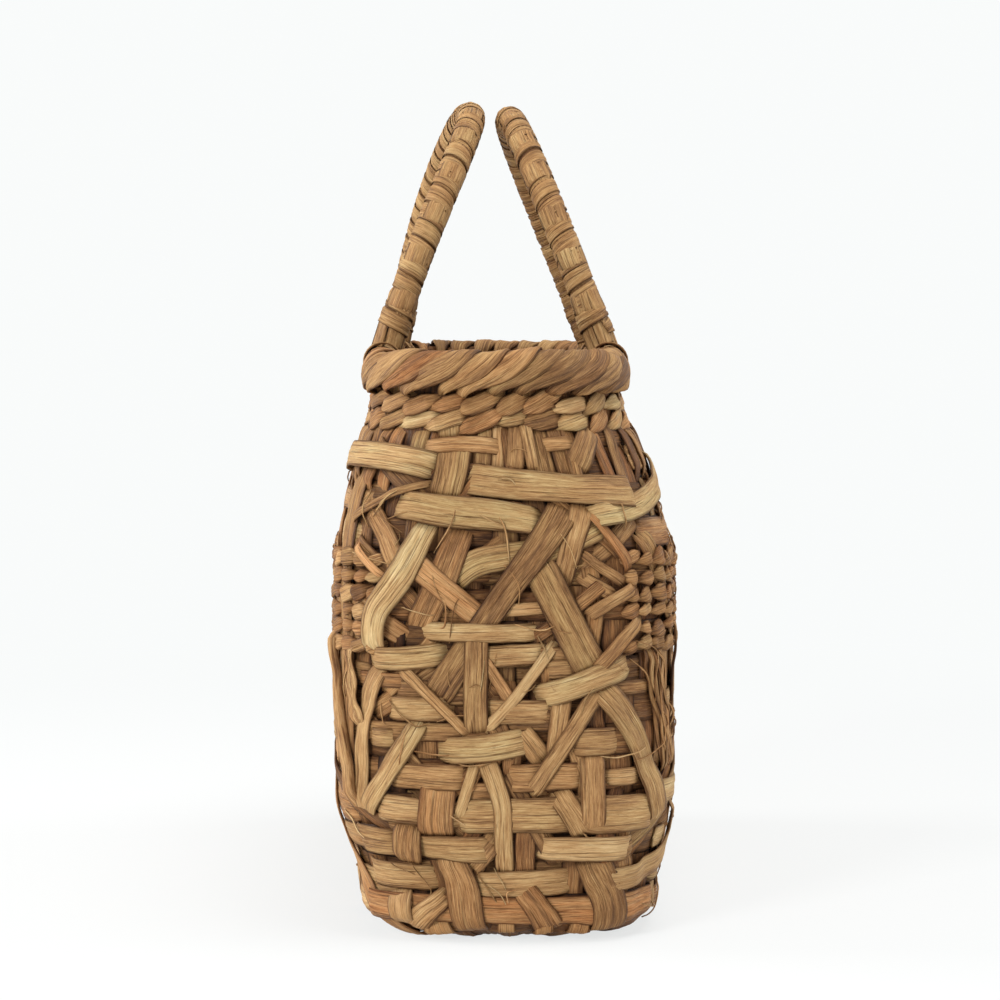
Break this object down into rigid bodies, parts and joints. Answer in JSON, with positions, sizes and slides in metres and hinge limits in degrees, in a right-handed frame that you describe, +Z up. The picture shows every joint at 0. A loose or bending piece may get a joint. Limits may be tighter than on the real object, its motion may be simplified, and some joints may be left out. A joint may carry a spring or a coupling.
{
  "type": "vine basket bag",
  "caption": "Upright oblong handbag of woven vine-bark strips with twined rows under a wrapped rim and two bark-wound arch handles that swing on it.",
  "frame": {"origin": "middle of the underside, on the surface that the bag stands on, under the middle of its bounding box", "axes": "+X along the bag's width, towards the end seen in the picture; -Y the front, +Y the back; +Z up"},
  "size_m": [0.3282, 0.1502, 0.3508],
  "materials": {
    "ground_bark": "dry fibrous bark, semi-matt",
    "band_bark": "dry fibrous bark, semi-matt",
    "strip_bark": "dry fibrous bark, semi-matt",
    "twine_bark": "dry fibrous bark, semi-matt",
    "rim_bark": "dry fibrous bark, semi-matt",
    "wrap_bark": "dry fibrous bark, semi-matt",
    "vine": "peeled vine, mostly hidden"
  },
  "bodies": {
    "basket": {"band_01": "band_bark", "band_02": "band_bark", "band_03": "band_bark", "band_04": "band_bark", "band_05": "band_bark", "band_06": "band_bark", "band_07": "band_bark", "band_08": "band_bark", "band_09": "band_bark", "band_10": "band_bark", "band_11": "band_bark", "band_12": "band_bark", "band_13": "band_bark", "band_foot": "band_bark", "band_neck": "band_bark", "diagonal_a_side_back": "strip_bark", "diagonal_a_side_front": "strip_bark", "diagonal_b_side_back": "strip_bark", "diagonal_b_side_front": "strip_bark", "diagonal_broad_end_far": "strip_bark", "diagonal_broad_end_near": "strip_bark", "diagonal_c_side_back": "strip_bark", "diagonal_c_side_front": "strip_bark", "diagonal_corner_end_far": "strip_bark", "diagonal_corner_end_near": "strip_bark", "diagonal_cross_end_far": "strip_bark", "diagonal_cross_end_near": "strip_bark", "diagonal_long_end_far": "strip_bark", "diagonal_long_end_near": "strip_bark", "diagonal_pale_end_far": "strip_bark", "diagonal_pale_end_near": "strip_bark", "diagonal_thin_end_far": "strip_bark", "diagonal_thin_end_near": "strip_bark", "ground_base": "ground_bark", "ground_wall": "ground_bark", "rim_border": "rim_bark", "rim_hoop": "vine", "twine_panel_back_1": "twine_bark", "twine_panel_back_2": "twine_bark", "twine_panel_back_3": "twine_bark", "twine_panel_front_1": "twine_bark", "twine_panel_front_2": "twine_bark", "twine_panel_front_3": "twine_bark", "twine_row_lower": "twine_bark", "twine_row_upper": "twine_bark", "upright_a_side_back": "strip_bark", "upright_a_side_front": "strip_bark", "upright_left_end_far": "strip_bark", "upright_left_end_near": "strip_bark", "upright_middle_end_far": "strip_bark", "upright_middle_end_near": "strip_bark"},
    "handle_front": {"handle_core_front": "vine", "handle_loop_front_far": "wrap_bark", "handle_loop_front_near": "wrap_bark", "handle_wrap_front": "wrap_bark"},
    "handle_back": {"handle_core_back": "vine", "handle_loop_back_far": "wrap_bark", "handle_loop_back_near": "wrap_bark", "handle_wrap_back": "wrap_bark"}
  },
  "joints": [
    {"name": "handle_front_swing", "type": "hinge", "parent": "basket", "child": "handle_front", "pos_m": [0, -0.05171, 0.2355], "axis": [1, 0, 0], "range_deg": [-1, 105]},
    {"name": "handle_back_swing", "type": "hinge", "parent": "basket", "child": "handle_back", "pos_m": [0, 0.04471, 0.2355], "axis": [-1, 0, 0], "range_deg": [-1, 105]}
  ]
}
